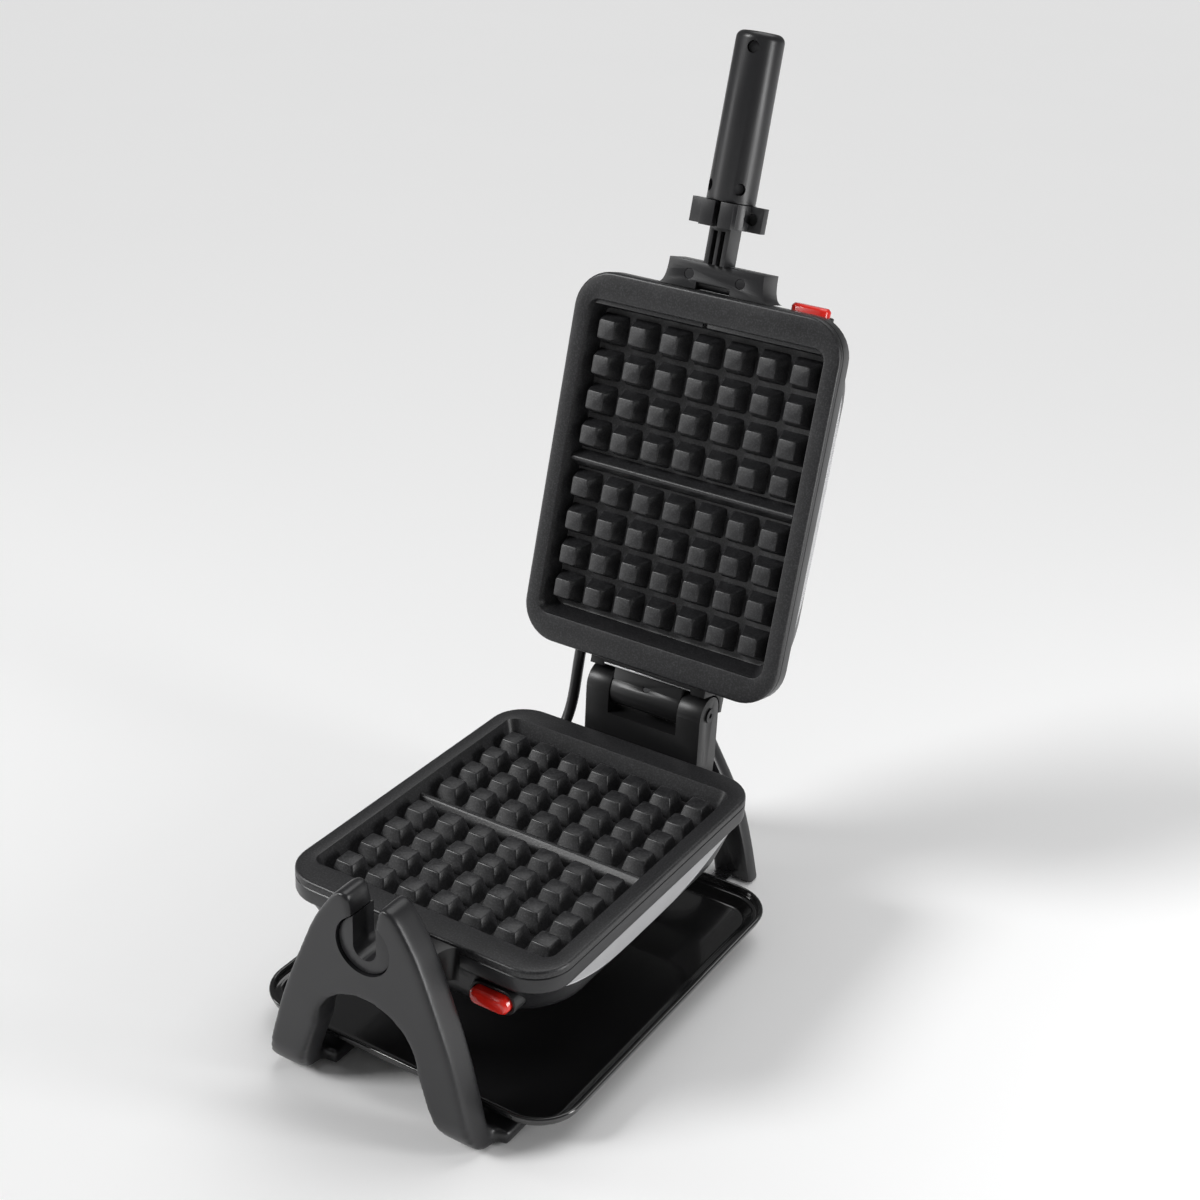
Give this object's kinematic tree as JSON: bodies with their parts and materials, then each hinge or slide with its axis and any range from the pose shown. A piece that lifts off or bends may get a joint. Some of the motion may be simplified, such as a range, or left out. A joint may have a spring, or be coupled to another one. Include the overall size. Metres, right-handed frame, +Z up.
{
  "type": "waffle maker",
  "caption": "Rotating waffle maker with two hinged baking halves, lift-out plates, a wishbone stand, a long handle and a drip tray.",
  "frame": {"origin": "middle of the machine's footprint, on the table that its four feet stand on", "axes": "+Z up, +X to the right seen from the front leg, +Y from the front leg to the rear leg"},
  "size_m": [0.227, 0.424, 0.5766],
  "materials": {
    "satin_plastic": "satin black moulding",
    "black_plastic": "fine matt black moulding",
    "grey_plastic": "finely ribbed light grey",
    "bush_plastic": "natural plain bearing plastic",
    "nonstick_coating": "cast plate with a dark speckled non-stick coating",
    "black_enamel": "glossy black enamel",
    "steel": "bright plated steel",
    "black_screw": "black oxide",
    "aluminium_sheet": "rolled sheet",
    "red_plastic": "glossy red",
    "rubber": "matt black"
  },
  "bodies": {
    "stand": {"front_leg": "satin_plastic", "rear_leg": "satin_plastic", "rear_bush": "bush_plastic", "right_rail": "steel", "left_rail": "steel", "front_right_foot": "rubber", "front_left_foot": "rubber", "rear_right_foot": "rubber", "rear_left_foot": "rubber", "leg_screw_right": "black_screw", "leg_screw_left": "black_screw"},
    "tray": {"drip_tray": "black_enamel"},
    "lower_half": {"lower_housing": "satin_plastic", "lower_side_panel_right": "grey_plastic", "lower_side_panel_left": "grey_plastic", "lower_heater": "steel", "lower_reflector": "aluminium_sheet", "lower_thermostat": "steel", "lower_button_bezel": "black_plastic", "lower_button_spring": "steel", "lower_cable_boot": "rubber", "front_bracket": "black_plastic", "trunnion_disc": "satin_plastic", "hinge_bracket": "black_plastic", "hinge_pin": "steel", "rear_axle": "steel", "axle_nut": "steel", "mains_gland": "rubber", "link_cable": "rubber"},
    "lower_plate": {"lower_cooking_plate": "nonstick_coating"},
    "lower_button": {"lower_release_button": "red_plastic"},
    "lid": {"upper_housing": "satin_plastic", "upper_side_panel_right": "grey_plastic", "upper_side_panel_left": "grey_plastic", "upper_heater": "steel", "upper_reflector": "aluminium_sheet", "upper_thermostat": "steel", "upper_button_bezel": "black_plastic", "upper_button_spring": "steel", "upper_cable_boot": "rubber", "hinge_hood": "black_plastic", "hinge_plate": "steel", "hinge_arm": "black_plastic", "hinge_screw": "black_screw", "handle_bracket": "satin_plastic", "bracket_screw_right": "black_screw", "bracket_screw_left": "black_screw", "handle_stem": "satin_plastic", "guard_collar": "satin_plastic", "handle_grip": "satin_plastic", "grip_screw_1": "black_screw", "grip_screw_2": "black_screw", "grip_screw_3": "black_screw"},
    "upper_plate": {"upper_cooking_plate": "nonstick_coating"},
    "upper_button": {"upper_release_button": "red_plastic"}
  },
  "joints": [
    {"name": "turn", "type": "hinge", "parent": "stand", "child": "lower_half", "pos_m": [0, 0, 0.123], "axis": [0, 1, 0], "range_deg": [0, 60]},
    {"name": "tray_slide", "type": "slide", "parent": "stand", "child": "tray", "axis": [1, 0, 0], "range_m": [0, 0.15]},
    {"name": "lower_plate_lift", "type": "slide", "parent": "lower_half", "child": "lower_plate", "axis": [0, 0, -1], "range_m": [-0.04, 0]},
    {"name": "lower_button_press", "type": "slide", "parent": "lower_half", "child": "lower_button", "axis": [0, 1, 0], "range_m": [0, 0.0035], "stiffness_N_per_m": 1500, "springref_m": -0.001, "deforming": ["lower_button_spring"]},
    {"name": "lid_hinge", "type": "hinge", "parent": "lower_half", "child": "lid", "pos_m": [0, 0.10814, 0.1402], "axis": [1, 0, 0], "range_deg": [0, 104], "deforming": ["link_cable"]},
    {"name": "upper_plate_lift", "type": "slide", "parent": "lid", "child": "upper_plate", "axis": [0, 0.9703, -0.2419], "range_m": [-0.04, 0]},
    {"name": "upper_button_press", "type": "slide", "parent": "lid", "child": "upper_button", "axis": [0, -0.2419, -0.9703], "range_m": [0, 0.0035], "stiffness_N_per_m": 1500, "springref_m": -0.001, "deforming": ["upper_button_spring"]}
  ]
}
